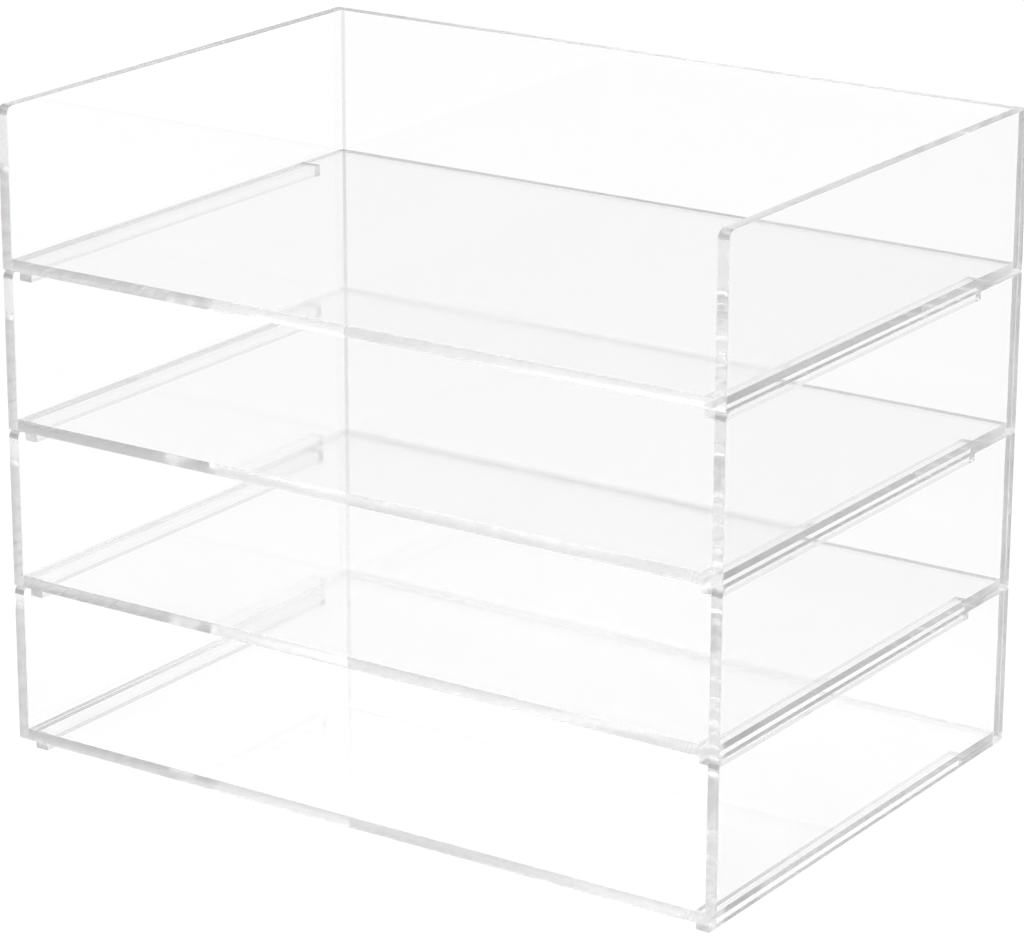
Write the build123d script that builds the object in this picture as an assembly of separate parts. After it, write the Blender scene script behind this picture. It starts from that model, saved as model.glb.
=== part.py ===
from build123d import *
import os

# A stack of four identical letter trays, each glued up from polished sheet and open at the front.
# X runs across the front, Y from the open front to the back wall, Z up. The origin is the middle
# of the stack's footprint, on the surface that it stands on.

# Driving dimensions, in millimetres
tray_width = 335.0
tray_depth = 226.0
tray_height = 66.5  # one tray's walls, from its underside to its rim, and the step between tiers
sheet_thickness = 4.76
front_corner_radius = 3.5  # the free upper front corner of each side wall
heel_radius = 2.0  # the lower rear corner of the walls
runner_width = 6.0
runner_drop = 4.76  # how far a runner stands below the tray's underside
runner_clearance = 0.5  # play between a runner and the side wall of the tray below
runner_front_setback = 4.0
runner_rear_setback = 30.0
tiers = ["bottom", "second", "third", "top"]

# Places that follow from them, in one tray's own frame, with z = 0 at its underside
front_y = -tray_depth / 2
rear_y = tray_depth / 2
outer_x = tray_width / 2
inner_x = outer_x - sheet_thickness
back_wall_y = rear_y - sheet_thickness
runner_x = inner_x - runner_clearance
runner_length = tray_depth - runner_front_setback - runner_rear_setback


def round_heel(outline):
    """Round the lower rear corner of a wall's outline, drawn with depth across and height up."""
    heel = outline.vertices().sort_by(lambda corner: corner.X - corner.Y)[-1]
    return fillet(heel, heel_radius)


def side_wall(face_x):
    """A side wall of full depth and height, with its outline drawn square to X at face_x."""
    outline = Pos(0, tray_height / 2) * Rectangle(tray_depth, tray_height)
    front_corner = outline.vertices().sort_by(lambda corner: corner.Y - corner.X)[-1]
    outline = round_heel(fillet(front_corner, front_corner_radius))
    return extrude(Plane.YZ.offset(face_x) * outline, amount=sheet_thickness)


def base_plate():
    """The shelf that the paper lies on, glued between the side walls and against the back wall."""
    outline = Pos(0, front_y) * Rectangle(
        2 * inner_x, back_wall_y - front_y, align=(Align.CENTER, Align.MIN)
    )
    return extrude(outline, amount=sheet_thickness)


def back_wall():
    """The rear wall between the side walls, with the same rounded heel as theirs."""
    outline = Pos(back_wall_y, 0) * Rectangle(
        sheet_thickness, tray_height, align=(Align.MIN, Align.MIN)
    )
    return extrude(Plane.YZ.offset(-inner_x) * round_heel(outline), amount=2 * inner_x)


def runner(inner_edge_x):
    """A strip glued under the base, which drops just inside a side wall of the tray below."""
    outline = Pos(inner_edge_x, front_y + runner_front_setback) * Rectangle(
        runner_width, runner_length, align=(Align.MIN, Align.MIN)
    )
    return extrude(outline, amount=-runner_drop)


tray_pieces = {
    "base": base_plate(),
    "back": back_wall(),
    "left_side": side_wall(-outer_x),
    "right_side": side_wall(inner_x),
    "left_runner": runner(-runner_x),
    "right_runner": runner(runner_x - runner_width),
}

# The bottom tray stands on its runners, and each tray above rests on the rim of the one below
os.makedirs("parts", exist_ok=True)
for step, tier in enumerate(tiers):
    underside_z = runner_drop + step * tray_height
    for name, piece in tray_pieces.items():
        export_step(Pos(0, 0, underside_z) * piece, f"parts/{tier}_tray_{name}.step")
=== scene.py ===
"""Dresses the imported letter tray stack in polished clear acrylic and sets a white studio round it.

The file is laid out as an add-on and run as a script. Each tray is glued up from sheet, so it is one clear
body to light: a Geometry Nodes tree makes that body from the sizes of the tray's own solids.
"""

import math

import bpy
from bpy.props import FloatProperty, FloatVectorProperty, IntProperty, PointerProperty
from bpy.types import Operator, Panel, PropertyGroup
from mathutils import Matrix, Vector


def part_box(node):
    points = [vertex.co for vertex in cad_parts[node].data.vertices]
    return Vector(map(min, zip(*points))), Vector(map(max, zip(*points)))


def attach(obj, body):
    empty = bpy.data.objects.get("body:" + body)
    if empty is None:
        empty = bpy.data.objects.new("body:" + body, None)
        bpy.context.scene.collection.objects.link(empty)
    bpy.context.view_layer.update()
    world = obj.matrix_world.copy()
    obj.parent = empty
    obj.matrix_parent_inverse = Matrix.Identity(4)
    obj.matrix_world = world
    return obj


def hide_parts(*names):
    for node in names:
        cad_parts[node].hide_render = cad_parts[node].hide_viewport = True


bl_info = {
    "name": "Clear Letter Tray Stack",
    "version": (1, 0, 0),
    "blender": (4, 5, 0),
    "location": "View3D > Sidebar > Tray Stack",
    "description": "Finishes a stack of clear acrylic letter trays and builds the white studio round it",
    "category": "Object",
}

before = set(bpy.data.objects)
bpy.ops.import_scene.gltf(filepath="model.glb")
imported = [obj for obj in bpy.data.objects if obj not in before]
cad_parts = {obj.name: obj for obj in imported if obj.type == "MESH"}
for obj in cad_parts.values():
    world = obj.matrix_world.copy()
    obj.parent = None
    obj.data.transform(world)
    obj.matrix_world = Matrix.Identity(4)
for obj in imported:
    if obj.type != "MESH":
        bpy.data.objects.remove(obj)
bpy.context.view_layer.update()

TIERS = ("bottom", "second", "third", "top")
TRAY_PARTS = ("base", "back", "left_side", "right_side", "left_runner", "right_runner")
WELD = 0.000001  # corners closer than this are one corner, in metres


# ---------------------------------------------------------------- node wiring

class Wire:
    """A socket of a node tree. Python's arithmetic on it adds Math nodes to the tree."""

    def __init__(self, shop, socket):
        self.shop = shop
        self.socket = socket

    def math(self, operation, *values):
        """The result of one Math node fed with these wires and numbers."""
        return self.shop.node("ShaderNodeMath", {"operation": operation}, dict(enumerate(values)))

    def __add__(self, other):
        return self.math("ADD", self, other)

    def __radd__(self, other):
        return self.math("ADD", other, self)

    def __sub__(self, other):
        return self.math("SUBTRACT", self, other)

    def __rsub__(self, other):
        return self.math("SUBTRACT", other, self)

    def __mul__(self, other):
        return self.math("MULTIPLY", self, other)

    def __rmul__(self, other):
        return self.math("MULTIPLY", other, self)

    def __truediv__(self, other):
        return self.math("DIVIDE", self, other)

    def __neg__(self):
        return self.math("MULTIPLY", self, -1.0)

    def __gt__(self, other):
        return self.math("GREATER_THAN", self, other)

    def __lt__(self, other):
        return self.math("LESS_THAN", self, other)

    def __abs__(self):
        return self.math("ABSOLUTE", self)

    def clamped(self, low, high):
        """This value held between two limits."""
        return self.math("MINIMUM", self.math("MAXIMUM", self, low), high)

    def sine(self):
        """The sine of this value, in radians."""
        return self.math("SINE", self)

    def larger(self, other):
        """The larger of this value and another."""
        return self.math("MAXIMUM", self, other)


class Shop:
    """Adds nodes to one tree. Sockets are named by their name, identifier or number."""

    def __init__(self, tree):
        self.tree = tree

    def node(self, kind, settings=None, feeds=None, out=0):
        """A new node's output as a wire: its settings are made first, then its sockets are fed."""
        made = self.tree.nodes.new(kind)
        for name, value in (settings or {}).items():
            if name == "stops":
                self.set_stops(made.color_ramp, value)
            else:
                setattr(made, name, value)
        for name, value in (feeds or {}).items():
            self.feed(made, name, value)
        if out is None:
            return made
        return Wire(self, self.find(made.outputs, out))

    @staticmethod
    def set_stops(ramp, stops):
        """Gives a colour ramp its stops, as pairs of place and grey."""
        while len(ramp.elements) < len(stops):
            ramp.elements.new(1.0)
        for element, (place, grey) in zip(ramp.elements, stops):
            element.position = place
            element.color = (grey, grey, grey, 1.0)

    @staticmethod
    def find(sockets, name):
        """The socket with this number, or the first enabled one with this name or identifier."""
        if isinstance(name, int):
            return sockets[name]
        for socket in sockets:
            if socket.enabled and name in (socket.name, socket.identifier):
                return socket
        raise KeyError(f"no socket named {name!r}")

    def feed(self, node, name, value):
        """Links a wire to a socket or sets the socket's own value. A list is linked item by item."""
        socket = self.find(node.inputs, name)
        for item in value if isinstance(value, list) else [value]:
            if isinstance(item, Wire):
                self.tree.links.new(item.socket, socket)
            else:
                socket.default_value = item

    def vector(self, x=0.0, y=0.0, z=0.0):
        """A vector wire from three wires or numbers."""
        return self.node("ShaderNodeCombineXYZ", None, {0: x, 1: y, 2: z})

    def axes(self, vector):
        """The three parts of a vector wire."""
        made = self.node("ShaderNodeSeparateXYZ", None, {0: vector}, out=None)
        return tuple(Wire(self, socket) for socket in made.outputs)


# ------------------------------------------------------------------- settings

class SheetSettings(PropertyGroup):
    """How finely the trays' edges are worked."""

    arris: FloatProperty(
        name="Arris", description="Width of the softened corner that polishing leaves on each cut edge",
        default=0.0001, min=0.00005, max=0.001, unit="LENGTH")
    arris_steps: IntProperty(
        name="Arris Steps", description="Facets across each softened corner", default=3, min=1, max=8)
    corner_steps: IntProperty(
        name="Corner Steps", description="Facets round each rounded corner of a side wall",
        default=12, min=2, max=32)
    rim_gap: FloatProperty(
        name="Rim Gap", description="Air left between a tray's rim and the tray that rests on it",
        default=0.00012, min=0.0, max=0.001, unit="LENGTH")
    joint_film: FloatProperty(
        name="Joint Film", description="Air left inside the cemented joints, which shows as a line",
        default=0.00006, min=0.00001, max=0.0005, unit="LENGTH")
    cement_line: FloatProperty(
        name="Cement Line", description="Width of the cement that closes each film of air all round",
        default=0.0003, min=0.0001, max=0.002, unit="LENGTH")


class AcrylicSettings(PropertyGroup):
    """The look of the clear sheet."""

    sheet_colour: FloatVectorProperty(
        name="Sheet Colour", description="What one pass through a polished face leaves of white light",
        default=(0.9995, 0.9995, 0.9995), size=3, subtype="COLOR", min=0.0, max=1.0)
    # Painted shade: the rims, front edges and runners are drawn greyer through this colour, in place of the
    # grey that their surroundings give them.
    edge_shade_colour: FloatVectorProperty(
        name="Cut Edge Colour", description="What one pass through a rim leaves of white light",
        default=(0.91, 0.91, 0.91), size=3, subtype="COLOR", min=0.0, max=1.0)
    ior: FloatProperty(
        name="Index of Refraction", description="Optical density of cast acrylic",
        default=1.49, min=1.3, max=1.6)
    # Painted shade: the rounded front corners and heels are drawn darker through this colour, in place of
    # the dark that their surroundings give them. At the joint films at the rear right it is a dark joint
    # line and also painted shade of the rear post.
    corner_shade_colour: FloatVectorProperty(
        name="Corner Colour", description="What one pass through a hand-worked corner leaves of white",
        default=(0.58, 0.58, 0.58), size=3, subtype="COLOR", min=0.0, max=1.0)
    corner_roughness: FloatProperty(
        name="Corner Roughness", description="Extra roughness of the hand-worked corners",
        default=0.3, min=0.0, max=0.5)
    face_roughness: FloatProperty(
        name="Face Roughness", description="Roughness of a clean polished face",
        default=0.03, min=0.0, max=0.2)
    smudge_roughness: FloatProperty(
        name="Smudge Roughness", description="Extra roughness where a face has been handled",
        default=0.02, min=0.0, max=0.2)
    ripple_height: FloatProperty(
        name="Ripple Height", description="Height of the marks that the cutter left across the front edges",
        default=0.0001, min=0.0, max=0.001, unit="LENGTH")
    ripple_pitch: FloatProperty(
        name="Ripple Pitch", description="Usual distance between two marks along an edge",
        default=0.009, min=0.001, max=0.05, unit="LENGTH")
    absorption: FloatProperty(
        name="Absorption", description="How fast light fades inside the sheet, for each metre of it",
        default=0.05, min=0.0, max=10.0)


class StudioSettings(PropertyGroup):
    """Camera, lamps and the white surroundings."""

    azimuth: FloatProperty(
        name="Azimuth", description="How far to the right of the front the camera stands",
        default=math.radians(33.95), subtype="ANGLE")
    elevation: FloatProperty(
        name="Elevation", description="How far the camera looks down", default=math.radians(18.28),
        subtype="ANGLE")
    roll: FloatProperty(
        name="Roll", description="Turn of the camera about its own line of sight",
        default=math.radians(0.17), subtype="ANGLE")
    place: FloatVectorProperty(
        name="Camera Place", description="Where the camera stands, from the middle of the footprint",
        default=(0.89733, -1.33275, 0.65044), size=3, subtype="TRANSLATION", unit="LENGTH")
    lens: FloatProperty(
        name="Lens", description="Focal length in millimetres on a 36 mm sensor", default=147.66, min=10.0)
    floor_size: FloatProperty(
        name="Floor Size", description="Side of the square white floor",
        default=14.0, min=1.0, unit="LENGTH")
    floor_gap: FloatProperty(
        name="Floor Gap", description="Air between the floor and what stands on it",
        default=0.0002, min=0.0, max=0.01, unit="LENGTH")
    floor_white: FloatProperty(
        name="Floor White", description="Share of the floor's brightness that shadows don't touch",
        default=0.8, min=0.0, max=1.0, subtype="FACTOR")
    side_shade: FloatProperty(
        name="Side Shade", description="How much darker the room is to the right at the back",
        default=0.2, min=0.0, max=1.0, subtype="FACTOR")
    front_shade: FloatProperty(
        name="Front Shade", description="How much darker the room is in front, round the camera",
        default=0.55, min=0.0, max=1.0, subtype="FACTOR")
    top_light: FloatProperty(
        name="Top Light", description="Strength of the even light from above", default=2.4, min=0.0)
    key_power: FloatProperty(
        name="Key Power", description="Power of the large soft lamp at the upper left",
        default=10.0, unit="POWER")


# ------------------------------------------------------------------ materials

# Smudges: their size, and where in the noise they start and how fast they rise from there.
SMUDGES_PER_METRE = 16.0
SMUDGE_START = 0.62
SMUDGE_RISE = 6.0
# Cutter marks: how slowly their spacing drifts up an edge and across the stack, how much, and their bow.
MARK_DRIFT = 0.37
MARK_LEAN = 40.0
MARK_UNEVENNESS = 1.4
MARK_BOW = 0.9
# Each mark is a soft swell, with a ridge where the swell is highest.
RIDGE_START = 0.90
RIDGE_RISE = 10.0
SWELL_SHARE = 0.3
RIDGE_SHARE = 0.3


def mixed_colour(shop, factor, first, second):
    """A colour wire that goes from the first colour to the second as the factor goes from 0 to 1."""
    colours = {name: colour if isinstance(colour, Wire) else (*colour, 1.0)
               for name, colour in (("A_Color", first), ("B_Color", second))}
    return shop.node("ShaderNodeMix", {"data_type": "RGBA"}, {"Factor_Float": factor, **colours},
                     out="Result_Color")


def acrylic_material(settings, inner_x, outer_x):
    """Cast acrylic: clear, with faint smudges on its faces, cutter marks at the front, rougher corners and
    painted shade.

    The trays' own attributes say where the cut edges, the front edges, the rounded corners and the rear
    joints are. Painted shade makes the cut edges greyer and the corners and joints darker.
    """
    material = bpy.data.materials.new("clear_acrylic")
    material.use_nodes = True
    tree = material.node_tree
    tree.nodes.clear()
    shop = Shop(tree)
    place = shop.node("ShaderNodeTexCoord", out="Object")
    x, y, z = shop.axes(place)
    cut = shop.node("ShaderNodeAttribute", {"attribute_name": "cut_edge"}, out="Fac")
    front = shop.node("ShaderNodeAttribute", {"attribute_name": "front_edge"}, out="Fac")
    corner = shop.node("ShaderNodeAttribute", {"attribute_name": "worked_corner"}, out="Fac")

    # Where hands have touched a face, it is a trace less glossy.
    touched = shop.node("ShaderNodeTexNoise", {"noise_dimensions": "3D"}, {
        "Vector": place, "Scale": SMUDGES_PER_METRE, "Detail": 0.0}, out="Fac")
    smudge = ((touched - SMUDGE_START) * SMUDGE_RISE).clamped(0.0, 1.0)
    extra = smudge * settings.smudge_roughness + corner * settings.corner_roughness
    roughness = extra + settings.face_roughness

    # Cutter marks across the front edges on the right: unevenly spaced along the edge, each a little bowed.
    middle = (inner_x + outer_x) / 2
    across = (abs(x) - middle) / (outer_x - middle)
    wave = math.tau / settings.ripple_pitch
    drift = z * (wave * MARK_DRIFT) + x * MARK_LEAN
    phase = z * wave + across * across * MARK_BOW + drift.sine() * MARK_UNEVENNESS
    swell = phase.sine()
    ridge = ((swell - RIDGE_START) * RIDGE_RISE).clamped(0.0, 1.0)
    marks = front * (x > 0.0) * (swell * SWELL_SHARE + ridge * RIDGE_SHARE)
    bump = shop.node("ShaderNodeBump", None, {
        "Strength": 1.0, "Distance": settings.ripple_height, "Height": marks})

    # Painted shade: the cut edges are drawn greyer, and the rounded corners and rear joints darker, than
    # the clear sheet.
    colour = mixed_colour(shop, cut, settings.sheet_colour, settings.edge_shade_colour)
    colour = mixed_colour(shop, corner, colour, settings.corner_shade_colour)
    surface = shop.node("ShaderNodeBsdfPrincipled", None, {
        "Base Color": colour, "Roughness": roughness, "IOR": settings.ior, "Transmission Weight": 1.0,
        "Normal": bump})
    volume = shop.node("ShaderNodeVolumeAbsorption", None, {
        "Color": (0.0, 0.0, 0.0, 1.0), "Density": settings.absorption})
    shop.node("ShaderNodeOutputMaterial", None, {"Surface": surface, "Volume": volume}, out=None)
    return material


# The way to the room's darker corner, seen from above, and where its shade starts and how fast it rises.
ASIDE_WAY = (0.55, 0.83)
ASIDE_START = 0.5
ASIDE_RISE = 3.0
# The same for the shade in front, which starts a little behind the middle.
BEFORE_START = 0.35
BEFORE_RISE = 1.2


def room_shade(x, y):
    """How much darker the room is to the right at the back, and in front, each from 0 to 1.

    The wires x and y are the level parts of the way that light comes from, as a vector of length 1.
    """
    aside = ((x * ASIDE_WAY[0] + y * ASIDE_WAY[1] - ASIDE_START) * ASIDE_RISE).clamped(0.0, 1.0)
    before = ((BEFORE_START - y) * BEFORE_RISE).clamped(0.0, 1.0)
    return aside, before


PAPER_GREY = 0.9
PAPER_ROUGHNESS = 0.9


def floor_material(settings):
    """White paper: mostly its own white to the eye and in glass, with the lamps' shadows on the rest.

    Light that was thrown back inside a sheet sees the paper as it lies in the room, darker in front and to
    the right at the back, so that cut edges stand out.
    """
    material = bpy.data.materials.new("white_floor")
    material.use_nodes = True
    tree = material.node_tree
    tree.nodes.clear()
    shop = Shop(tree)
    path = shop.node("ShaderNodeLightPath", out=None)
    camera, glossy, through, reflections = (Wire(shop, path.outputs[name]) for name in (
        "Is Camera Ray", "Is Glossy Ray", "Is Transmission Ray", "Glossy Depth"))
    seen = camera.larger(glossy).larger(through)
    place = shop.node("ShaderNodeTexCoord", out="Object")
    way = shop.node("ShaderNodeVectorMath", {"operation": "NORMALIZE"}, {0: place})
    x, y, _ = shop.axes(way)
    aside, before = room_shade(x, y)
    shade = aside * settings.side_shade + before * settings.front_shade
    strength = 1.0 - (reflections > 0.5) * shade
    paper = shop.node("ShaderNodeBsdfPrincipled", None, {
        "Base Color": (PAPER_GREY, PAPER_GREY, PAPER_GREY, 1.0), "Roughness": PAPER_ROUGHNESS})
    white = shop.node("ShaderNodeEmission", None, {"Color": (1.0, 1.0, 1.0, 1.0), "Strength": strength})
    mixed = shop.node("ShaderNodeMixShader", None, {0: seen * settings.floor_white, 1: paper, 2: white})
    shop.node("ShaderNodeOutputMaterial", None, {"Surface": mixed}, out=None)
    return material


# The sky's grey from the horizon, at 0, to straight above, at 1.
SKY = [(0.0, 1.0), (0.04, 0.95), (0.12, 0.91), (0.32, 0.90), (0.50, 0.68), (0.80, 0.60), (1.0, 0.9)]
SKY_SIDE_SHADE = 1.5  # how many times the floor's shade the sky's is, to the side and in front
SKY_FRONT_SHADE = 1.2
SHADE_FOOT = 0.02  # the sky's shade fades in above the horizon and out again near straight above
SHADE_FOOT_RISE = 8.0
SHADE_TOP = 0.95
SHADE_TOP_FALL = 4.0
BLACK = (0.0, 0.0, 0.0)
WHITE = (1.0, 1.0, 1.0)


def studio_world(settings):
    """White to the eye. To the sheets it is greyer above, in front and to the side, so that edges show."""
    world = bpy.data.worlds.new("studio")
    world.use_nodes = True
    tree = world.node_tree
    tree.nodes.clear()
    shop = Shop(tree)
    direction = shop.node("ShaderNodeTexCoord", out="Generated")
    x, y, height = shop.axes(direction)
    sky = shop.node("ShaderNodeValToRGB", {"stops": SKY}, {"Fac": height}, out="Color")
    aside, before = room_shade(x, y)
    side_shade = settings.side_shade * SKY_SIDE_SHADE
    front_shade = settings.front_shade * SKY_FRONT_SHADE
    shade = aside * side_shade + before * front_shade
    foot = ((height - SHADE_FOOT) * SHADE_FOOT_RISE).clamped(0.0, 1.0)
    top = ((SHADE_TOP - height) * SHADE_TOP_FALL).clamped(0.0, 1.0)
    sky = mixed_colour(shop, shade * foot * top, sky, BLACK)
    camera = shop.node("ShaderNodeLightPath", out="Is Camera Ray")
    seen = mixed_colour(shop, camera, sky, WHITE)
    background = shop.node("ShaderNodeBackground", None, {"Color": seen, "Strength": 1.0})
    shop.node("ShaderNodeOutputWorld", None, {"Surface": background}, out=None)
    return world


# ---------------------------------------------------------------------- trays

TRAY_INPUTS = ("Width", "Depth", "Wall Height", "Sheet", "Underside", "Front Corner Radius", "Heel Radius",
               "Runner Width", "Runner Drop", "Runner Inset", "Runner Front Setback", "Runner Rear Setback",
               "Joint Film", "Cement Line")
# The numbers of the two rounded corners of a side wall's outline, counted from 0 at the lower front.
HEEL_CORNER = 1.0
FRONT_CORNER = 3.0
# The film at the right of the base: a stretch at the rear, in thicknesses of the sheet, whose faces get
# painted shade, then a clear one, as a share of the base's depth.
REAR_SHEETS = 4
MIDDLE_SHARE = 0.25
FACING = 0.9  # a face looks along an axis where that part of its normal is larger than this
SLANT = 0.05  # a face is on a rounded corner where two parts of its normal are larger than this
EDGE_REACH = 0.0005  # how far, in metres, the middle of a front edge or rim may lie from its plane
RUNNER_REACH = 0.0002  # how far below the underside, in metres, the middle of a runner's face lies at least
CREASE = 0.6  # edges that turn further than this, in radians, are corners of the sheet
# Shares of the front corners' painted shade and extra roughness, for the heels and the joints at the rear
# right, and then of the rims' painted shade, for the front edges and runners. At the joints it is a dark
# joint line and also painted shade of the rear post.
HEEL_SHADE = 0.7
FLAT_JOINT_SHADE = 0.35
UPRIGHT_JOINT_SHADE = 0.75
FRONT_EDGE_SHADE = 0.4
RUNNER_SHADE = 0.1


def block(shop, size, centre):
    """A plain block of this size with its middle here."""
    solid = shop.node("GeometryNodeMeshCube", None, {"Size": size})
    return shop.node("GeometryNodeTransform", None, {"Geometry": solid, "Translation": centre})


def joint_films(shop, width, depth, height, sheet, underside, heel, film, cement):
    """The thin air left in a tray's joints: behind the base, up the back wall's ends and beside the base.

    At the right of the base there are two stretches of film at the rear, and none in front of them.
    """
    rear = depth * 0.5
    flat = sheet - 2 * cement
    base_middle = underside + sheet * 0.5
    upright_middle = underside + (height + heel - cement) * 0.5
    inside = depth - sheet - 2 * cement
    behind = shop.vector(width - 2 * sheet - 2 * cement, film, flat)
    upright = shop.vector(film, flat, height - heel - cement)
    films = [block(shop, behind, shop.vector(0.0, rear - sheet, base_middle))]
    for side in (-1.0, 1.0):
        joint_x = side * (width * 0.5 - sheet)
        films.append(block(shop, upright, shop.vector(joint_x, rear - sheet * 0.5, upright_middle)))
        start = rear - sheet - cement
        for run in ((sheet * REAR_SHEETS, inside * MIDDLE_SHARE) if side > 0.0 else (inside,)):
            centre = shop.vector(joint_x, start - run * 0.5, base_middle)
            films.append(block(shop, shop.vector(film, run, flat), centre))
            start = start - run - cement
    return films


def tray_tree():
    """A glued tray as one clear body: a rounded blank, its hollow cut out, and the runners joined on."""
    tree = bpy.data.node_groups.new("glued_tray", "GeometryNodeTree")
    tree.interface.new_socket("Geometry", in_out="INPUT", socket_type="NodeSocketGeometry")
    for name in TRAY_INPUTS:
        socket = tree.interface.new_socket(name, in_out="INPUT", socket_type="NodeSocketFloat")
        socket.subtype = "DISTANCE"
    tree.interface.new_socket("Corner Steps", in_out="INPUT", socket_type="NodeSocketInt")
    tree.interface.new_socket("Material", in_out="INPUT", socket_type="NodeSocketMaterial")
    tree.interface.new_socket("Geometry", in_out="OUTPUT", socket_type="NodeSocketGeometry")
    shop = Shop(tree)
    given = shop.node("NodeGroupInput", out=None)
    (width, depth, height, sheet, underside, corner, heel, runner_width, drop, inset, setback, rear_setback,
     film, cement) = (Wire(shop, given.outputs[name]) for name in TRAY_INPUTS)
    steps = Wire(shop, given.outputs["Corner Steps"])

    # The blank: a side wall's outline, drawn flat with Y to the right and Z up, run across the whole width.
    front = depth * -0.5
    rear = depth * 0.5
    rim = underside + height
    outline = shop.node("GeometryNodeCurvePrimitiveQuadrilateral", {"mode": "POINTS"}, {
        "Point 1": shop.vector(front, underside), "Point 2": shop.vector(rear, underside),
        "Point 3": shop.vector(rear, rim), "Point 4": shop.vector(front, rim)})
    corner_number = shop.node("GeometryNodeInputIndex")
    is_heel, is_front = (
        shop.node("ShaderNodeMath", {"operation": "COMPARE"}, {0: corner_number, 1: number, 2: 0.1})
        for number in (HEEL_CORNER, FRONT_CORNER))
    outline = shop.node("GeometryNodeFilletCurve", {"mode": "POLY"}, {
        "Curve": outline, "Count": steps, "Radius": is_heel * heel + is_front * corner})
    rail = shop.node("GeometryNodeCurvePrimitiveLine", None, {
        "Start": shop.vector(z=width * -0.5), "End": shop.vector(z=width * 0.5)})
    blank = shop.node("GeometryNodeCurveToMesh", None, {
        "Curve": rail, "Profile Curve": outline, "Fill Caps": True})
    blank = shop.node("GeometryNodeMergeByDistance", None, {"Geometry": blank, "Distance": WELD})
    blank = shop.node("GeometryNodeTransform", None, {
        "Geometry": blank, "Rotation": (math.radians(90), 0.0, math.radians(90))})

    hollow = block(shop, shop.vector(width - 2 * sheet, depth, height),
                   shop.vector(0.0, -sheet, underside + sheet + height * 0.5))
    tub = shop.node("GeometryNodeMeshBoolean", {"operation": "DIFFERENCE", "solver": "EXACT"}, {
        "Mesh 1": blank, "Mesh 2": hollow})
    runner_size = shop.vector(runner_width, depth - setback - rear_setback, drop + sheet * 0.5)
    runner_x = width * 0.5 - inset - runner_width * 0.5
    runner_y = (setback - rear_setback) * 0.5
    runner_z = underside + sheet * 0.25 - drop * 0.5
    runners = [block(shop, runner_size, shop.vector(side * runner_x, runner_y, runner_z))
               for side in (-1.0, 1.0)]
    tray = shop.node("GeometryNodeMeshBoolean", {"operation": "UNION", "solver": "EXACT"}, {
        "Mesh 2": [tub] + runners})
    films = joint_films(shop, width, depth, height, sheet, underside, heel, film, cement)
    tray = shop.node("GeometryNodeMeshBoolean", {"operation": "DIFFERENCE", "solver": "EXACT"}, {
        "Mesh 1": tray, "Mesh 2": films})
    tray = shop.node("GeometryNodeMergeByDistance", None, {"Geometry": tray, "Distance": WELD})

    # Outer corners are softened by the polisher, cemented inner corners stay sharp.
    turn = shop.node("GeometryNodeInputMeshEdgeAngle", out="Signed Angle")
    tray = shop.node("GeometryNodeStoreNamedAttribute", {"data_type": "FLOAT", "domain": "EDGE"}, {
        "Geometry": tray, "Name": "bevel_weight_edge", "Value": turn > CREASE})
    tray = shop.node("GeometryNodeStoreNamedAttribute", {"data_type": "BOOLEAN", "domain": "EDGE"}, {
        "Geometry": tray, "Name": "sharp_edge", "Value": turn < -CREASE})

    # Which faces are cut edges of sheet and how much painted shade each gets, and which corners and rear
    # joints get painted shade and extra roughness, for the material.
    normal = shop.axes(shop.node("GeometryNodeInputNormal"))
    centre = shop.axes(shop.node("GeometryNodeInputPosition"))
    at_front = (normal[1] < -FACING) * (centre[1] < front + EDGE_REACH)
    at_rim = (normal[2] > FACING) * (centre[2] > rim - EDGE_REACH)
    on_corner = (normal[1] < -SLANT) * (normal[2] > SLANT)
    on_heel = (normal[1] > SLANT) * (normal[2] < -SLANT)
    at_rear = (abs(normal[0]) > FACING) * (centre[1] > rear - sheet * REAR_SHEETS)
    at_joint = at_rear * (centre[0] > 0.0) * (centre[0] < width * 0.5 - sheet * 0.5)
    # Painted shade: the rounded front corners and heels are darker as shade. The joint films at the rear
    # right are a dark joint line and also painted shade of the rear post. The cut edges are greyer as
    # shade.
    joint_shade = (centre[2] > underside + sheet * 2) * (UPRIGHT_JOINT_SHADE - FLAT_JOINT_SHADE) + FLAT_JOINT_SHADE
    worked = on_corner.larger(on_heel * HEEL_SHADE).larger(at_joint * joint_shade)
    on_runner = centre[2] < underside - RUNNER_REACH
    cut = at_rim.larger(at_front * FRONT_EDGE_SHADE).larger(on_runner * RUNNER_SHADE)
    for name, mask in (("cut_edge", cut), ("front_edge", at_front), ("worked_corner", worked)):
        tray = shop.node("GeometryNodeStoreNamedAttribute", {"data_type": "FLOAT", "domain": "FACE"}, {
            "Geometry": tray, "Name": name, "Value": mask})

    tray = shop.node("GeometryNodeSetShadeSmooth", None, {"Geometry": tray, "Shade Smooth": True})
    tray = shop.node("GeometryNodeRealizeInstances", None, {"Geometry": tray})
    tray = shop.node("GeometryNodeSetMaterial", None, {
        "Geometry": tray, "Material": Wire(shop, given.outputs["Material"])})
    shop.node("NodeGroupOutput", None, {"Geometry": tray}, out=None)
    return tree


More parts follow.
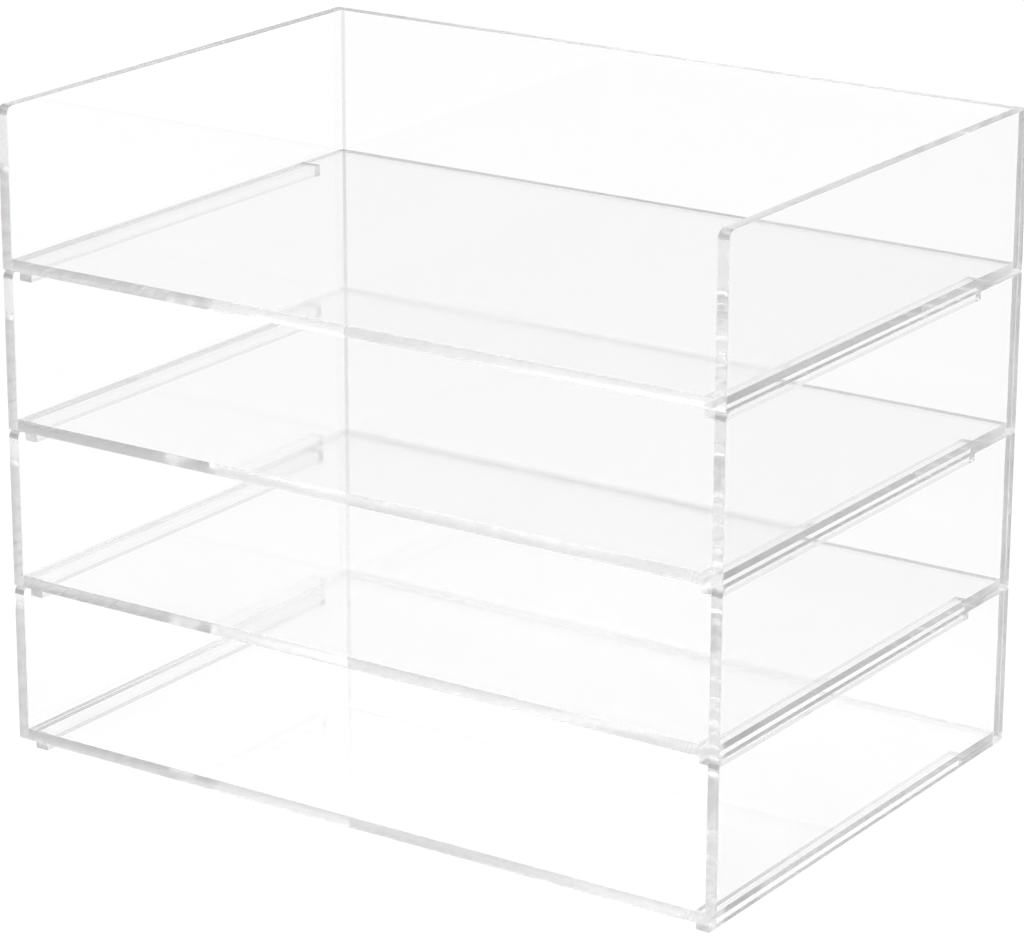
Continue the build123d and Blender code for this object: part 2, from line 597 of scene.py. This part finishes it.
def tray_sizes(tier):
    """The sizes of one tier's tray, read from its solids in the frame."""
    low, high = {}, {}
    for part in TRAY_PARTS:
        low[part], high[part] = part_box(f"{tier}_tray_{part}")
    side, runner = "left_side", "left_runner"
    wall = [v.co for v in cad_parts[f"{tier}_tray_{side}"].data.vertices]
    front, rear = low[side].y, high[side].y
    underside, rim = low[side].z, high[side].z
    front_top = max(co.z for co in wall if co.y < front + WELD * 10)
    heel_start = max(co.y for co in wall if co.z < underside + WELD * 10)
    return {
        "Width": high["right_side"].x - low[side].x,
        "Depth": rear - front,
        "Wall Height": rim - underside,
        "Sheet": high["base"].z - low["base"].z,
        "Underside": underside,
        "Front Corner Radius": rim - front_top,
        "Heel Radius": rear - heel_start,
        "Runner Width": high[runner].x - low[runner].x,
        "Runner Drop": underside - low[runner].z,
        "Runner Inset": low[runner].x - low[side].x,
        "Runner Front Setback": low[runner].y - front,
        "Runner Rear Setback": rear - high[runner].y,
    }


SQUARE = 0.99999  # a face looks straight along an axis where a part of its normal reaches this


def finished_mesh(name, tree, values, arris, arris_steps):
    """Runs the tree on an empty mesh, softens the weighted edges, and returns the plain mesh."""
    blank = bpy.data.objects.new("blank", bpy.data.meshes.new("blank"))
    bpy.context.scene.collection.objects.link(blank)
    nodes = blank.modifiers.new("glued_tray", "NODES")
    nodes.node_group = tree
    for item in tree.interface.items_tree:
        if item.item_type == "SOCKET" and item.in_out == "INPUT" and item.name in values:
            nodes[item.identifier] = values[item.name]
    bevel = blank.modifiers.new("arris", "BEVEL")
    bevel.limit_method = "WEIGHT"
    bevel.offset_type = "OFFSET"
    bevel.width = arris
    bevel.segments = arris_steps
    bevel.use_clamp_overlap = True
    bpy.context.view_layer.update()
    graph = bpy.context.evaluated_depsgraph_get()
    mesh = bpy.data.meshes.new_from_object(
        blank.evaluated_get(graph), preserve_all_data_layers=True, depsgraph=graph)
    mesh.name = name
    bpy.data.objects.remove(blank)
    if not mesh.polygons:
        raise RuntimeError(f"{name} came out empty")
    for face in mesh.polygons:  # the sheets' faces are flat, and only rounded corners are shaded smooth
        face.use_smooth = max(abs(part) for part in face.normal) < SQUARE
    return mesh


class TRAYSTACK_OT_trays(Operator):
    """Builds the four glued trays as clear bodies in place of their solids"""

    bl_idname = "traystack.trays"
    bl_label = "Trays"

    def execute(self, context):
        sheet = context.scene.tray_sheet
        inner_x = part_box("top_tray_base")[1].x
        outer_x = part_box("top_tray_right_side")[1].x
        material = acrylic_material(context.scene.tray_acrylic, inner_x, outer_x)
        tree = tray_tree()
        for number, tier in enumerate(TIERS):
            values = tray_sizes(tier)
            if number < len(TIERS) - 1:
                values["Wall Height"] -= sheet.rim_gap
            values["Joint Film"] = sheet.joint_film
            values["Cement Line"] = sheet.cement_line
            values["Corner Steps"] = sheet.corner_steps
            values["Material"] = material
            name = f"{tier}_tray_acrylic"
            mesh = finished_mesh(name, tree, values, sheet.arris, sheet.arris_steps)
            tray = bpy.data.objects.new(name, mesh)
            context.scene.collection.objects.link(tray)
            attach(tray, f"{tier}_tray")
            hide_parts(*(f"{tier}_tray_{part}" for part in TRAY_PARTS))
        return {"FINISHED"}


# ---------------------------------------------------------------------- stage

LAMPS_TARGET = (0.0, 0.0, 0.13)  # the middle of the stack
KEY_PLACE = (-1.3, -1.1, 1.9)
KEY_SIZE = 1.4
EVEN_SPREAD = math.radians(40.0)
EVEN_TURN = (math.radians(24.0), math.radians(-16.0), 0.0)
SENSOR_WIDTH = 36.0
VIEW_RANGE = (0.05, 100.0)  # the nearest and farthest things that the camera sees, in metres
BOUNCES = 400  # light is thrown to and fro many times inside a clear sheet


def soft_lamp(name, place, target, size, power):
    """A square soft lamp that looks at a point."""
    lamp = bpy.data.lights.new(name, "AREA")
    lamp.shape = "SQUARE"
    lamp.size = size
    lamp.energy = power
    holder = bpy.data.objects.new(name, lamp)
    holder.location = place
    holder.rotation_euler = (Vector(target) - Vector(place)).to_track_quat("-Z", "Y").to_euler()
    bpy.context.scene.collection.objects.link(holder)
    return holder


class TRAYSTACK_OT_stage(Operator):
    """Sets the white floor, the lamps, the surroundings and the camera"""

    bl_idname = "traystack.stage"
    bl_label = "Stage"

    def execute(self, context):
        scene = context.scene
        studio = scene.tray_studio

        half = studio.floor_size / 2
        mesh = bpy.data.meshes.new("floor")
        corners = [(-half, -half), (half, -half), (half, half), (-half, half)]
        mesh.from_pydata([(x, y, -studio.floor_gap) for x, y in corners], [], [(0, 1, 2, 3)])
        floor = bpy.data.objects.new("floor", mesh)
        scene.collection.objects.link(floor)
        floor.data.materials.append(floor_material(studio))

        soft_lamp("key", KEY_PLACE, LAMPS_TARGET, KEY_SIZE, studio.key_power)
        even = bpy.data.lights.new("even", "SUN")
        even.energy = studio.top_light
        even.angle = EVEN_SPREAD
        even.use_shadow = False
        overhead = bpy.data.objects.new("even", even)
        overhead.rotation_euler = EVEN_TURN
        scene.collection.objects.link(overhead)
        scene.world = studio_world(studio)

        camera_data = bpy.data.cameras.new("camera")
        camera_data.sensor_width = SENSOR_WIDTH
        camera_data.lens = studio.lens
        camera_data.clip_start, camera_data.clip_end = VIEW_RANGE
        camera = bpy.data.objects.new("camera", camera_data)
        scene.collection.objects.link(camera)
        az, el, roll = studio.azimuth, studio.elevation, studio.roll
        back = Vector((math.sin(az) * math.cos(el), -math.cos(az) * math.cos(el), math.sin(el)))
        right = Vector((math.cos(az), math.sin(az), 0.0))
        up = back.cross(right)
        turned_right = right * math.cos(roll) + up * math.sin(roll)
        turned_up = up * math.cos(roll) - right * math.sin(roll)
        axes = Matrix((turned_right, turned_up, back)).transposed()
        camera.matrix_world = Matrix.Translation(Vector(studio.place)) @ axes.to_4x4()
        scene.camera = camera

        scene.view_settings.view_transform = "Standard"
        scene.cycles.max_bounces = BOUNCES
        scene.cycles.transmission_bounces = BOUNCES
        scene.cycles.glossy_bounces = BOUNCES
        return {"FINISHED"}


class TRAYSTACK_PT_panel(Panel):
    """Lists the steps that dress the stack, with their settings"""

    bl_idname = "TRAYSTACK_PT_panel"
    bl_label = "Tray Stack"
    bl_space_type = "VIEW_3D"
    bl_region_type = "UI"
    bl_category = "Tray Stack"

    def draw(self, context):
        for title, settings, step in (("Sheet", context.scene.tray_sheet, "traystack.trays"),
                                      ("Acrylic", context.scene.tray_acrylic, "traystack.trays"),
                                      ("Studio", context.scene.tray_studio, "traystack.stage")):
            box = self.layout.box()
            box.label(text=title)
            for name in settings.__annotations__:
                box.prop(settings, name)
            box.operator(step)


CLASSES = (SheetSettings, AcrylicSettings, StudioSettings, TRAYSTACK_OT_trays, TRAYSTACK_OT_stage,
           TRAYSTACK_PT_panel)


def register():
    for item in CLASSES:
        bpy.utils.register_class(item)
    bpy.types.Scene.tray_sheet = PointerProperty(type=SheetSettings)
    bpy.types.Scene.tray_acrylic = PointerProperty(type=AcrylicSettings)
    bpy.types.Scene.tray_studio = PointerProperty(type=StudioSettings)


def unregister():
    del bpy.types.Scene.tray_studio
    del bpy.types.Scene.tray_acrylic
    del bpy.types.Scene.tray_sheet
    for item in reversed(CLASSES):
        bpy.utils.unregister_class(item)


def main():
    register()
    bpy.ops.traystack.trays()
    bpy.ops.traystack.stage()


if __name__ == "__main__":
    main()
